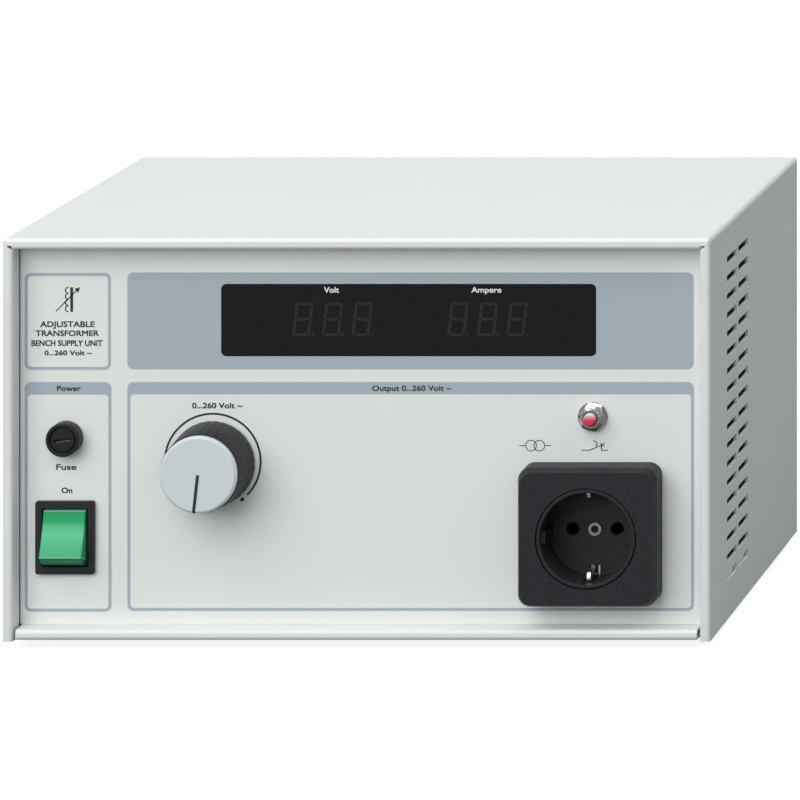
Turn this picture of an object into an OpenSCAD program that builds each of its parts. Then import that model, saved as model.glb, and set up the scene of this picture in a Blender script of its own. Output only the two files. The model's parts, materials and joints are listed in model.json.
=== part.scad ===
// Adjustable mains transformer in a bench case: voltage knob, twin meter, outlet, fuse and power switch.
// X runs to the right, Y to the back and Z up. The origin is under the middle of the case, on the bench.

/* [Case] */
// Outer width of the hood
case_w = 300; // [296:1:306]
// Outer height of the hood
case_h = 170.7; // [168:0.1:176]
// Outer depth of the hood
case_d = 191.2; // [186:1:200]
// Thickness of the hood's steel sheet
hood_t = 1.2; // [1:0.1:1.5]
// Outer radius of the hood's long folded edges
edge_r = 2; // [1.6:0.1:2.4]
// Height of the hood's lower edge above the bench
foot_h = 4.3; // [4:0.1:8]

/* [Front rim] */
// Width of the rim's front face, bends included
rim_w = 4.5; // [4:0.1:5]
// Outer radius of the rim's bends
rim_r = 1.6; // [1.4:0.1:1.8]
// How far the rim's return runs back from the front plane
rim_back = 8.6; // [8:0.1:9]
// Distance from the front plane back to the panel's face
panel_inset = 9.5; // [9.2:0.1:10]

/* [Tray and rear] */
// Thickness of the tray's steel sheet
tray_t = 1.5; // [1.2:0.1:2]
// Height of the tray's rolled front lip
lip_h = 4.5; // [4:0.1:5]
// Height of the tray's side and rear flanges
flange_h = 17.8; // [14:0.1:19]
// Width of the hood's rear flange
rear_flange_w = 11; // [10:1:14]

/* [Side vents] */
// Length of one slot
slot_len = 20; // [16:1:22]
// Height of one slot
slot_h = 3.3; // [2.4:0.1:3.6]
// Spacing of the rows
slot_pitch = 8; // [7.8:0.1:8.2]
// Number of rows
slot_rows = 18; // [10:1:18]
// Distance from the front plane to the first column
slot_start = 35; // [30:0.5:40]
// Plain metal between the two columns
slot_gap = 4; // [3:0.5:6]

/* [Front panel] */
// Thickness of the aluminium panel
panel_t = 2; // [1.5:0.1:2.5]
// Thickness of the printed foil on it
foil_t = 0.25; // [0.2:0.05:0.4]
// Width of the meter window
window_w = 159.4; // [150:0.1:162]
// Height of the meter window
window_h = 30.7; // [28:0.1:34]

/* [Voltage knob] */
// Distance of the knob's axis left of the centre
knob_left = 63.5; // [60:0.1:66]
// Height of the knob's axis above the hood's lower edge
knob_up = 73.4; // [72:0.1:78]
// Diameter of the fluted body
knob_d = 36.4; // [35:0.1:38]
// Diameter of the light cap
knob_cap_d = 32.6; // [31:0.1:34]
// Height of the knob in front of the panel
knob_h = 21.3; // [18.5:0.1:24]
// Diameter of the drive shaft
shaft_d = 8; // [6:1:10]
// Angle of the pointer at the zero stop, clockwise from straight up
zero_angle = 186.4; // [180:0.1:200]
// Turn of the knob from zero to full voltage
travel_angle = 316; // [300:1:320]

/* [Ring transformer] */
// Outer diameter of the winding
coil_d = 132; // [120:1:136]
// Diameter of the hole through the winding
coil_hole_d = 46; // [44:1:50]
// Length of the winding along its axis
coil_len = 72; // [60:1:76]

/* [Mains outlet] */
// Width and height of the cover at the panel
socket_w = 59.2; // [58:0.1:62]
// Height of the cover in front of the panel
socket_h = 13.3; // [12:0.1:14]
// Diameter of the well
well_d = 39; // [38.5:0.1:39.5]
// Depth of the well
well_depth = 17.5; // [17:0.1:18]
// Distance between the two live contacts
contact_pitch = 19; // [19:1:19]
// Diameter of the bore in each live contact
contact_bore_d = 5; // [4.9:0.05:5.1]

/* [Power switch] */
// Width of the switch's frame
switch_w = 25; // [24.6:0.1:26]
// Height of the switch's frame
switch_h = 31; // [30:0.1:32]
// Tilt of the rocker to each side of its middle
rocker_tilt = 19.5; // [16:0.5:20]

/* [Hidden] */

$fn = 64;
eps = 0.01;

// Hood
head_h = 2.4;
front_y = (knob_h - panel_inset - case_d - head_h) / 2;
back_y = front_y + case_d;
hood_z = foot_h;
top_z = hood_z + case_h;
side_x = case_w / 2;
vent_top = 154.3;
mitre = 20;

// Panel planes, from the front
foil_y = front_y + panel_inset;
panel_y = foil_y + foil_t;
panel_back = panel_y + panel_t;
rear_y = back_y - hood_t;
rear_t = 1.5;

// Tray
tray_z = hood_z + 0.5;
tray_top = tray_z + tray_t;
lip_x = side_x - rim_w - 1.2;
lip_top = tray_z + lip_h;
flange_x = side_x - hood_t - 0.4;
panel_x = side_x - rim_w + 2.4;
panel_z0 = lip_top + 0.1;
panel_z1 = top_z - hood_t - 0.6;

// Places on the panel
window_x = 19.9;
window_z = hood_z + 134.35;
knob_x = -knob_left;
knob_z = hood_z + knob_up;
fuse_x = -125.6;
fuse_z = hood_z + 84.5;
switch_x = -125.8;
switch_z = hood_z + 42.2;
breaker_x = 98.25;
breaker_z = hood_z + 93.3;
socket_x = 98.1;
socket_z = hood_z + 44.4;

// Meter
digit_w = 38.2;
digit_h = 19;
digit_t = 8;
digit_y = panel_back + 2.2;
volt_x = -13.7;
amp_x = 52.3;
digit_z = hood_z + 133.3;
board_y = digit_y + digit_t;
board_t = 1.6;
board_w = 180;
board_h = 42;
standoff_dx = 86;
standoff_dz = 16.5;

// Fuse holder
fuse_r = 7.15;
fuse_front = foil_y - 6;
fuse_cap_r = 5.35;
fuse_bore = 5.43;
link_r = 2.6;
link_y = fuse_front + 5;
link_len = 20;
fuse_back = panel_back + 30;

// Power switch
pivot_y = foil_y + 1.25;
rocker_w = 18;
rocker_reach = 7;
rocker_r = 12.1;
rocker_back = 4;
rocker_room = 0.8;
dish_r = 70;
switch_front = foil_y - 2;
switch_back = panel_back + 19;
pivot_r = 1.5;

// Breaker
bush_r = 4.3;
bush_front = foil_y - 5.2;
button_r = 2.75;
button_front = foil_y - 7.4;
nut_af = 10.5;

// Outlet
cover_top = foil_y - socket_h;
insert_r = 21;
well_y = cover_top + 0.2 + well_depth;
insert_back = well_y + 2.5;
base_back = insert_back + 19;
clip_w = 1.4;
clip_slot = 4.4;

// Ring transformer, from the front
coil_y0 = -18;
coil_y1 = coil_y0 + coil_len;
coil_r = coil_d / 2;
hole_r = coil_hole_d / 2;
wind_t = 4;
in_t = 4;
gap_angle = 30;
stop_angle = zero_angle + travel_angle / 2 - 180;
bolt_angle = stop_angle + 60;
shaft_r = shaft_d / 2;
bush_gap = 0.05;
clamp_t = 4;
clamp_bolt_r = 15.5;
rear_clamp_t = 6;
bracket_t = 3;
bracket_y = coil_y1 + rear_clamp_t;
bracket_w = 112;
bracket_foot = 26;
track_t = 0.4;
track_r0 = 44;
track_r1 = 58;
arm_y = -31;
arm_t = 1.6;
flutes = 32;
flute_r = 2.8;
flute_depth = 0.12;
grip_slope = 4.6;
peg_ring = 18.5;
peg_r = 2.4;
lug_reach = 21.5;
arm_w = 8;

// Rear
inlet_x = 100;
inlet_z = hood_z + 40;
inlet_w = 27;
inlet_h = 20;
inlet_depth = 16;
stud_x = 132;
stud_y = back_y - 52;

// Steps of the fasteners
m3_r = 1.5;
m4_r = 2;
m5_r = 2.5;

// Angle a is measured clockwise from straight up, as seen from the front.
function at_angle(r, a) = [r * sin(a), 0, r * cos(a)];

// A box given by its two ends on each axis
module block(x, y, z) {
    translate([x[0], y[0], z[0]]) cube([x[1] - x[0], y[1] - y[0], z[1] - z[0]]);
}

// A cylinder along Y
module rod_y(r, y0, y1, fn = 64) {
    translate([0, y1, 0]) rotate([90, 0, 0]) cylinder(r = r, h = y1 - y0, $fn = fn);
}

// A cone along Y, r0 at y0 and r1 at y1
module cone_y(r0, r1, y0, y1) {
    translate([0, y1, 0]) rotate([90, 0, 0]) cylinder(r1 = r1, r2 = r0, h = y1 - y0);
}

// Draws a flat X-Z outline between two depths
module slab_y(y0, y1) {
    translate([0, y1, 0]) rotate([90, 0, 0]) linear_extrude(y1 - y0) children();
}

module round_rect(w, h, r) {
    square([w - 2 * r, h], center = true);
    square([w, h - 2 * r], center = true);
    for (x = [-1, 1], y = [-1, 1])
        translate([x * (w / 2 - r), y * (h / 2 - r)]) circle(r, $fn = 32);
}

// A pan-head screw along Y: the head's outer face at y, the shank running back
module screw_y(y, head_r, head_t, shank_r, length) {
    difference() {
        rod_y(head_r, y, y + head_t, 48);
        block([-head_r * 0.62, head_r * 0.62], [y - 1, y + head_t * 0.45], [-0.35, 0.35]);
        block([-0.35, 0.35], [y - 1, y + head_t * 0.45], [-head_r * 0.62, head_r * 0.62]);
    }
    rod_y(shank_r, y + head_t - eps, y + head_t + length, 32);
}

module hex_y(across_flats, y0, y1) {
    rod_y(across_flats / sqrt(3), y0, y1, 6);
}

// ---- Hood ----

// A quarter of a bent sheet in the quadrant qx, qy
module bend(r, t, qx, qy) {
    intersection() {
        difference() {
            circle(r, $fn = 48);
            circle(r - t, $fn = 48);
        }
        translate([qx < 0 ? -r : 0, qy < 0 ? -r : 0]) square(r);
    }
}

// Section of the hood's sheet: x is the depth from the front plane and y the distance in from outside
module hood_section() {
    translate([rim_r, 0]) square([case_d - 2 * rim_r, hood_t]);
    translate([rim_r, rim_r]) bend(rim_r, hood_t, -1, -1);
    translate([0, rim_r]) square([hood_t, rim_w - 2 * rim_r]);
    translate([rim_r, rim_w - rim_r]) bend(rim_r, hood_t, -1, 1);
    translate([rim_r, rim_w - hood_t]) square([rim_back - rim_r, hood_t]);
    translate([case_d - rim_r, rim_r]) bend(rim_r, hood_t, 1, -1);
    translate([case_d - hood_t, rim_r]) square([hood_t, rear_flange_w - rim_r]);
}

module hood_top() {
    intersection() {
        translate([-side_x, front_y, top_z])
            rotate([90, 0, 90]) linear_extrude(case_w) mirror([0, 1]) hood_section();
        slab_y(front_y - 1, back_y + 1)
            polygon([[-side_x, top_z], [side_x, top_z], [side_x - mitre, top_z - mitre],
                [-side_x + mitre, top_z - mitre]]);
    }
}

module hood_left() {
    intersection() {
        translate([-side_x, front_y, hood_z]) linear_extrude(case_h) mirror([1, -1]) hood_section();
        slab_y(front_y - 1, back_y + 1)
            polygon([[-side_x, hood_z], [-side_x, top_z], [-side_x + mitre, top_z - mitre],
                [-side_x + mitre, hood_z]]);
    }
}

// Outline that rounds the two long folded edges
module hood_outline() {
    difference() {
        translate([-side_x, hood_z]) square([case_w, case_h]);
        for (s = [-1, 1])
            translate([s * (side_x - edge_r), top_z - edge_r]) difference() {
                translate([s > 0 ? 0 : -2 * edge_r, 0]) square(2 * edge_r);
                circle(edge_r, $fn = 48);
            }
    }
}

module side_slots() {
    for (row = [0 : slot_rows - 1], col = [0, 1])
        translate([0, front_y + slot_start + col * (slot_len + slot_gap),
            hood_z + vent_top - row * slot_pitch - slot_h / 2])
            cube([4, slot_len, slot_h]);
}

// Small notch where the rim's bends meet at a mitre, drawn from the rim's inner corner
module corner_relief() {
    polygon([[-0.6, -0.4], [0.3, -0.3], [2.4, 1.1], [2.1, 1.5], [0.5, 1.5]]);
}

hood_screw_spots = [[-side_x + 6.5, 30], [-side_x + 6.5, 132], [side_x - 6.5, 30], [side_x - 6.5, 132],
    [-80, case_h - 6.5], [80, case_h - 6.5]];

module hood() {
    color("gainsboro") difference() {
        intersection() {
            union() {
                hood_top();
                hood_left();
                mirror([1, 0, 0]) hood_left();
            }
            slab_y(front_y - 1, back_y + 1) hood_outline();
        }
        for (s = [0, 1]) mirror([s, 0, 0]) {
            translate([side_x - 2, 0, 0]) side_slots();
            slab_y(front_y - 1, front_y + rim_r + 0.4) translate([side_x - rim_w, top_z - rim_w]) corner_relief();
        }
        for (p = hood_screw_spots)
            translate([p[0], 0, hood_z + p[1]]) rod_y(m4_r + 0.2, rear_y - 1, back_y + 1, 32);
    }
}

module hood_screws() {
    color("silver") for (p = hood_screw_spots)
        translate([p[0], 0, hood_z + p[1]]) mirror([0, 1, 0]) screw_y(-back_y - head_h, 3.6, head_h, m4_r, 7);
}

// ---- Tray ----

foot_spots = [for (x = [-1, 1], y = [0, 1]) [x * (side_x - 26), y == 0 ? front_y + 30 : back_y - 28]];
bracket_spots = [for (x = [-1, 1], y = [0, 1]) [knob_x + x * 44, bracket_y + bracket_t + 7 + y * 12]];

// Section of the tray's floor and rolled lip: x is the depth behind the front plane, y the height
module tray_section() {
    r = rim_r + 0.2;
    back = case_d - hood_t - rear_t - 0.1;
    up_x = panel_inset + foil_t + panel_t + 0.1;
    translate([r, 0]) square([back - r, tray_t]);
    translate([r, r]) bend(r, tray_t - 0.3, -1, -1);
    translate([0, r - eps]) square([tray_t - 0.3, lip_h - 2 * r + 2 * eps]);
    translate([r, lip_h - r]) bend(r, tray_t - 0.3, -1, 1);
    translate([r, lip_h - tray_t + 0.3]) square([up_x + tray_t - r, tray_t - 0.3]);
    translate([up_x, lip_h - tray_t + 0.3]) square([tray_t, flange_h - lip_h]);
    translate([back - tray_t, 0]) square([tray_t, flange_h]);
}

module base_tray() {
    color("lightgray") difference() {
        union() {
            translate([-lip_x, front_y, tray_z]) rotate([90, 0, 90]) linear_extrude(2 * lip_x) tray_section();
            for (s = [0, 1]) mirror([s, 0, 0]) {
                block([flange_x - tray_t, flange_x], [front_y + 14, back_y - 6], [tray_z, tray_z + flange_h]);
                block([lip_x - 1, flange_x], [front_y + 14, back_y - 6], [tray_z, tray_top]);
            }
        }
        for (p = foot_spots)
            translate([p[0], p[1], tray_z - 1]) cylinder(r = m4_r + 0.2, h = 4, $fn = 32);
        for (p = bracket_spots)
            translate([p[0], p[1], tray_z - 1]) cylinder(r = m5_r + 0.2, h = 4, $fn = 32);
        for (row = [0 : 6], col = [0 : 3])
            translate([20 + col * 26, -40 + row * slot_pitch, tray_z - 1]) cube([slot_len, slot_h, 4]);
        translate([stud_x, stud_y, tray_z - 1]) cylinder(r = 3.2, h = 4, $fn = 32);
    }
}

module feet() {
    color("dimgray") for (p = foot_spots) translate([p[0], p[1], 0]) difference() {
        union() {
            cylinder(r1 = 7.4, r2 = 8, h = 1.2);
            translate([0, 0, 1.2 - eps]) cylinder(r = 8, h = tray_z - 1.2 + eps);
        }
        translate([0, 0, -1]) cylinder(r = 4.4, h = 1 + 2.6);
        cylinder(r = m4_r + 0.1, h = tray_z + 1, $fn = 32);
    }
}

module foot_screws() {
    color("silver") for (p = foot_spots) translate([p[0], p[1], 0.9]) {
        cylinder(r = 3.7, h = 1.7 - eps);
        cylinder(r = m4_r, h = 11, $fn = 32);
    }
}

module foot_nuts() {
    color("silver") for (p = foot_spots) translate([p[0], p[1], tray_top]) difference() {
        cylinder(r = 7 / sqrt(3), h = 3.2, $fn = 6);
        translate([0, 0, -1]) cylinder(r = m4_r, h = 6, $fn = 32);
    }
}

// ---- Front panel ----

module panel_outline() {
    translate([-panel_x, panel_z0]) square([2 * panel_x, panel_z1 - panel_z0]);
}

// The openings that the panel and its foil share, with room round the shaft
module panel_holes(shaft_hole_r) {
    translate([window_x, window_z]) round_rect(window_w + 0.1, window_h + 0.1, 2.2);
    translate([knob_x, knob_z]) circle(shaft_hole_r, $fn = 48);
    translate([fuse_x, fuse_z]) circle(6.35, $fn = 48);
    translate([switch_x, switch_z]) square([22.1, 28.1], center = true);
    translate([breaker_x, breaker_z]) circle(bush_r + 0.1, $fn = 48);
    translate([socket_x, socket_z]) circle(insert_r + 0.2);
}

module front_panel() {
    color("silver") slab_y(panel_y, panel_back) difference() {
        panel_outline();
        panel_holes(5.5);
    }
}

module panel_overlay() {
    color("lightgray") slab_y(foil_y, panel_y) difference() {
        translate([-side_x + rim_w + 0.3, panel_z0])
            square([case_w - 2 * rim_w - 0.6, top_z - rim_w - 0.3 - panel_z0]);
        panel_holes(6);
    }
}

// ---- Meter ----

module display_window() {
    color("black") translate([window_x, 0, window_z]) {
        slab_y(foil_y, panel_back + eps) round_rect(window_w, window_h, 2.15);
        slab_y(panel_back, panel_back + 1.5) round_rect(window_w + 4, window_h + 1.6, 2.5);
    }
}

standoff_spots = [for (x = [-1, 1], z = [-1, 1]) [window_x + x * standoff_dx, window_z + z * standoff_dz]];

module display_standoffs() {
    color("gold") for (p = standoff_spots) translate([p[0], 0, p[1]]) difference() {
        hex_y(5.5, panel_back, board_y);
        rod_y(m3_r, board_y - 7, board_y + 1, 32);
    }
}

module display_screws() {
    color("silver") for (p = standoff_spots)
        translate([p[0], 0, p[1]]) mirror([0, 1, 0]) screw_y(-board_y - board_t - 1.8, 2.8, 1.8, m3_r, 6);
}

module display_board() {
    color("darkgreen") difference() {
        translate([window_x, 0, window_z])
            slab_y(board_y, board_y + board_t) square([board_w, board_h], center = true);
        meter_pins(board_y - 1, 0.1);
        for (p = standoff_spots)
            translate([p[0], 0, p[1]]) rod_y(m3_r + 0.1, board_y - 1, board_y + board_t + 1, 32);
    }
}

module digit_block() {
    slab_y(digit_y, board_y) square([digit_w, digit_h], center = true);
}

module volt_digits() {
    color("dimgray") translate([volt_x, 0, digit_z]) digit_block();
}

module amp_digits() {
    color("dimgray") translate([amp_x, 0, digit_z]) digit_block();
}

// The meter transformer's solder pins, or their holes when there is room round them
module meter_pins(y, room) {
    for (x = [-12, 12], z = [-10, 10])
        translate([window_x + x, 0, window_z + z]) rod_y(0.5 + room, y, board_y + board_t + 1, 16);
}

// Small encapsulated transformer that feeds the meter
module meter_transformer() {
    y0 = board_y + board_t;
    color("dimgray") {
        translate([window_x, y0, window_z]) block([-16, 16], [0, 22], [-13.5, 13.5]);
        meter_pins(board_y - 2, 0);
    }
}

// ---- Fuse ----

module fuse_holder() {
    color("#26272b") translate([fuse_x, 0, fuse_z]) difference() {
        union() {
            rod_y(fuse_r, fuse_front + 0.5, foil_y);
            cone_y(fuse_r - 0.5, fuse_r, fuse_front, fuse_front + 0.5 + eps);
            rod_y(6.2, foil_y - eps, fuse_back);
        }
        rod_y(fuse_bore, fuse_front - 1, link_y + 7);
        cone_y(fuse_bore + 0.5, fuse_bore, fuse_front - eps, fuse_front + 0.7);
        rod_y(link_r + 0.6, fuse_front, fuse_back - 2.5);
    }
}

module fuse_holder_nut() {
    color("#26272b") translate([fuse_x, 0, fuse_z]) difference() {
        hex_y(17, panel_back, panel_back + 4);
        rod_y(6.2, panel_back - 1, panel_back + 5);
    }
}

module fuse_holder_tags() {
    color("silver") translate([fuse_x, 0, fuse_z]) {
        block([-0.4, 0.4], [fuse_back, fuse_back + 8], [-2.4, 2.4]);
        block([-2.4, 2.4], [fuse_back - 14, fuse_back - 13.2], [6.2, 13]);
    }
}

module fuse_cap() {
    color("#26272b") translate([fuse_x, 0, fuse_z]) difference() {
        union() {
            cone_y(fuse_cap_r - 0.5, fuse_cap_r, fuse_front + 0.4, fuse_front + 0.9 + eps);
            rod_y(fuse_cap_r, fuse_front + 0.9, link_y + 6);
        }
        rod_y(link_r + 0.06, link_y - 0.1, link_y + 7);
        rotate([0, -8, 0]) block([-3.7, 3.7], [fuse_front - 1, fuse_front + 1.8], [-0.5, 0.5]);
    }
}

module fuse_tube() {
    color("lightblue") translate([fuse_x, 0, fuse_z]) difference() {
        rod_y(link_r - 0.25, link_y + 0.4, link_y + link_len - 0.4, 48);
        rod_y(link_r - 0.85, link_y - 1, link_y + link_len + 1, 48);
    }
}

module fuse_end_caps() {
    color("silver") translate([fuse_x, link_y, fuse_z]) for (y = [0, 1])
        translate([0, y * link_len, 0]) mirror([0, y, 0]) difference() {
            rod_y(link_r, 0, 5.5, 48);
            rod_y(link_r - 0.25, 0.4, 6, 48);
        }
}

// ---- Power switch ----

module switch_housing() {
    color("#26272b") difference() {
        translate([switch_x, 0, switch_z]) union() {
            slab_y(switch_front, foil_y) round_rect(switch_w, switch_h, 1);
            block([-11, 11], [foil_y - eps, switch_back], [-14, 14]);
        }
        translate([switch_x, 0, switch_z]) {
            block([-rocker_w / 2 - rocker_room, rocker_w / 2 + rocker_room], [switch_front - 1, pivot_y + 12.5],
                [-rocker_r - 0.35, rocker_r + 0.35]);
            translate([0, pivot_y, 0]) rotate([0, 90, 0])
                cylinder(r = pivot_r + 0.06, h = rocker_w + 2 * rocker_room + 1.6, center = true, $fn = 48);
        }
    }
}

// Side view of the rocker in its middle position, pivot at the centre: x is depth, y is height
module rocker_section() {
    intersection() {
        circle(rocker_r, $fn = 96);
        difference() {
            translate([-rocker_reach, -rocker_r]) square([rocker_reach + rocker_back, 2 * rocker_r]);
            translate([-rocker_reach - sqrt(pow(dish_r, 2) - pow(10, 2)), 0]) circle(dish_r, $fn = 160);
        }
    }
}

module power_rocker() {
    color("seagreen") translate([switch_x, pivot_y, switch_z]) rotate([-rocker_tilt, 0, 0]) {
        translate([-rocker_w / 2, 0, 0]) rotate([90, 0, 90]) linear_extrude(rocker_w) rocker_section();
        rotate([0, 90, 0]) cylinder(r = pivot_r, h = rocker_w + 2 * rocker_room + 1, center = true, $fn = 48);
    }
}

module switch_tags() {
    color("silver") for (x = [-5.5, 5.5], z = [-9, 9])
        translate([switch_x + x, 0, switch_z + z]) block([-3.15, 3.15], [switch_back, switch_back + 8.5], [-0.4, 0.4]);
}

// ---- Thermal breaker ----

module breaker_body() {
    color("#33343a") translate([breaker_x, 0, breaker_z])
        block([-7.5, 7.5], [panel_back, panel_back + 27], [-16, 16]);
}

module breaker_bushing() {
    color("silver") translate([breaker_x, 0, breaker_z]) difference() {
        union() {
            rod_y(bush_r, bush_front + 0.4, panel_back);
            cone_y(bush_r - 0.4, bush_r, bush_front, bush_front + 0.4 + eps);
        }
        rod_y(button_r + 0.45, bush_front - 1, panel_back - 1);
    }
}

module breaker_nut() {
    color("silver") translate([breaker_x, 0, breaker_z]) difference() {
        union() {
            rod_y(6.35, foil_y - 0.6, foil_y);
            intersection() {
                rotate([0, 12, 0]) hex_y(nut_af, foil_y - 3.4, foil_y - 0.6 + eps);
                cone_y(4.6, 8.2, foil_y - 3.4, foil_y - 0.6 + eps);
            }
        }
        rod_y(bush_r, foil_y - 5, foil_y + 1);
    }
}

module breaker_tags() {
    color("silver") for (z = [-10, 10]) translate([breaker_x, 0, breaker_z + z])
        block([-3.15, 3.15], [panel_back + 27, panel_back + 36], [-0.4, 0.4]);
}

module reset_button() {
    color("crimson") translate([breaker_x, 0, breaker_z]) {
        rod_y(button_r, button_front + 0.6, panel_back - 1.5);
        cone_y(button_r - 0.6, button_r, button_front, button_front + 0.6 + eps);
    }
}

// ---- Mains outlet ----

module cover_slice(y, w) {
    slab_y(y, y + 0.2) round_rect(w, w, 5.3);
}

module socket_cover() {
    bevel_y = cover_top + 4;
    color("#2d2e33") translate([socket_x, 0, socket_z]) difference() {
        union() {
            hull() {
                cover_slice(cover_top, socket_w - 3);
                cover_slice(bevel_y - 0.2, socket_w - 0.3);
            }
            hull() {
                cover_slice(bevel_y - 0.2, socket_w - 0.3);
                cover_slice(foil_y - 0.2, socket_w);
            }
        }
        rod_y(insert_r + 0.45, cover_top - 1, foil_y + 1, 96);
        slab_y(cover_top + 3, foil_y + 1) difference() {
            round_rect(socket_w - 4.4, socket_w - 4.4, 3.5);
            circle(insert_r + 2.2, $fn = 96);
        }
    }
}

module socket_insert() {
    color("#2d2e33") translate([socket_x, 0, socket_z]) difference() {
        union() {
            difference() {
                rod_y(insert_r, cover_top + 0.2, insert_back, 96);
                rod_y(well_d / 2, cover_top - 1, well_y, 96);
            }
            for (s = [-1, 1]) block([s * 18.75 - 1.1, s * 18.75 + 1.1], [cover_top + 2.5, well_y], [-2.6, 2.6]);
        }
        for (s = [-1, 1]) translate([s * contact_pitch / 2, 0, 0]) rod_y(2.75, well_y - 1, insert_back + 1);
        rod_y(1.7, well_y - 1, insert_back + 1);
        rod_y(3.1, well_y - 1, well_y + 1.2);
        for (s = [0, 1]) mirror([0, 0, s])
            block([-clip_slot / 2, clip_slot / 2], [cover_top + 3, insert_back + 1], [15, 19.9]);
    }
}

module socket_base() {
    color("tan") translate([socket_x, 0, socket_z]) difference() {
        union() {
            rod_y(20.5, insert_back, insert_back + 4);
            block([-17, 17], [insert_back + 3, base_back], [-13, 13]);
        }
        for (s = [-1, 1]) translate([s * contact_pitch / 2, 0, 0]) rod_y(3.6, insert_back - 1, base_back - 2);
        rod_y(1.5, insert_back - 1, insert_back + 14, 32);
        for (s = [0, 1]) mirror([0, 0, s]) block([-clip_w / 2 - 0.2, clip_w / 2 + 0.2],
            [insert_back - 1, insert_back + 5], [13.2, 21]);
    }
}

module socket_contacts() {
    color("gold") for (s = [-1, 1]) translate([socket_x + s * contact_pitch / 2, 0, socket_z]) difference() {
        rod_y(3.6, insert_back, base_back - 2);
        rod_y(contact_bore_d / 2, insert_back - 1, base_back - 3);
    }
}

// Earth strap: a spring finger at the top and the bottom of the well
module earth_clip() {
    color("silver") translate([socket_x, 0, socket_z]) for (s = [0, 1]) mirror([0, 0, s]) {
        block([-clip_w / 2, clip_w / 2], [cover_top + 8, insert_back + 4], [18.4, 19.2]);
        translate([0, cover_top + 9.7, 18.5]) rotate([0, 90, 0]) difference() {
            cylinder(r = 4, h = clip_w, center = true, $fn = 48);
            translate([-5, -5, -5]) cube([5, 10, 10]);
        }
    }
}

module socket_screw() {
    color("silver") translate([socket_x, 0, socket_z]) difference() {
        union() {
            rod_y(2.8, well_y - 0.4, well_y + 1.2);
            rod_y(1.5, well_y + 1, insert_back + 13, 32);
        }
        rod_y(1.6, well_y - 1, well_y + 1.1, 32);
    }
}

// ---- Ring transformer ----

module ring_section(r0, r1, y0, y1, r) {
    translate([(r0 + r1) / 2, (y0 + y1) / 2]) round_rect(r1 - r0, y1 - y0, r);
}

// A ring round the Y axis, open over the gap angle on the stop peg's side
module ring_y(gap) {
    rotate([0, stop_angle - 90 + gap / 2, 0]) rotate([-90, 0, 0])
        rotate_extrude(angle = 360 - gap, $fn = 128) children();
}

module toroid_core() {
    t = wind_t + in_t;
    color("slategray") translate([knob_x, 0, knob_z]) rotate([-90, 0, 0]) rotate_extrude($fn = 128)
        ring_section(hole_r + t, coil_r - t, coil_y0 + t, coil_y1 - t, 2);
}

module input_winding() {
    color("saddlebrown") translate([knob_x, 0, knob_z]) ring_y(8) difference() {
        ring_section(hole_r + wind_t, coil_r - wind_t, coil_y0 + wind_t, coil_y1 - wind_t, 5);
        ring_section(hole_r + wind_t + in_t, coil_r - wind_t - in_t, coil_y0 + wind_t + in_t,
            coil_y1 - wind_t - in_t, 2);
    }
}

module output_winding() {
    color("chocolate") translate([knob_x, 0, knob_z]) ring_y(gap_angle) difference() {
        ring_section(hole_r, coil_r, coil_y0, coil_y1, 8);
        ring_section(hole_r + wind_t, coil_r - wind_t, coil_y0 + wind_t, coil_y1 - wind_t, 5);
    }
}

// The bared copper path that the brush runs on
module contact_track() {
    color("orange") translate([knob_x, 0, knob_z]) ring_y(gap_angle)
        translate([track_r0, coil_y0 - track_t]) square([track_r1 - track_r0, track_t]);
}

module front_clamp() {
    color("saddlebrown") translate([knob_x, 0, knob_z]) difference() {
        union() {
            rod_y(hole_r + 6, coil_y0 - clamp_t, coil_y0, 96);
            rod_y(hole_r - 0.5, coil_y0 - eps, coil_y0 + 8, 96);
        }
        rod_y(6, coil_y0 - 10, coil_y0 + 10);
        for (k = [0 : 2]) translate(at_angle(clamp_bolt_r, bolt_angle + 120 * k)) rod_y(m5_r + 0.1, coil_y0 - 10, coil_y0 + 10, 32);
        translate(at_angle(peg_ring, stop_angle)) rod_y(peg_r, coil_y0 - 10, coil_y0 + 2, 32);
    }
}

module rear_clamp() {
    color("saddlebrown") translate([knob_x, 0, knob_z]) difference() {
        union() {
            rod_y(coil_r - 6, coil_y1, bracket_y, 96);
            rod_y(hole_r - 0.5, coil_y1 - 8, coil_y1 + eps, 96);
        }
        rod_y(6, coil_y1 - 10, bracket_y + 1);
        for (k = [0 : 2]) translate(at_angle(clamp_bolt_r, bolt_angle + 120 * k)) rod_y(m5_r + 0.1, coil_y1 - 10, bracket_y + 1, 32);
    }
}

module bearing_bushes() {
    color("goldenrod") translate([knob_x, 0, knob_z]) difference() {
        union() {
            rod_y(6, coil_y0 - clamp_t - 1, coil_y0 + 8);
            rod_y(6, coil_y1 - 8, bracket_y);
        }
        rod_y(shaft_r + bush_gap, coil_y0 - 20, bracket_y + 1);
    }
}

module stop_peg() {
    color("silver") translate([knob_x, 0, knob_z]) translate(at_angle(peg_ring, stop_angle))
        rod_y(peg_r, arm_y - 4, coil_y0 + 2, 32);
}

module clamp_bolts() {
    y0 = coil_y0 - clamp_t;
    y1 = bracket_y + bracket_t;
    color("silver") translate([knob_x, 0, knob_z])
        for (k = [0 : 2]) translate(at_angle(clamp_bolt_r, bolt_angle + 120 * k)) {
            rod_y(4.2, y0 - 2, y0, 6);
            rod_y(m5_r, y0 - eps, y1 + 5.5, 32);
            hex_y(8, y1, y1 + 4);
        }
}

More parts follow.
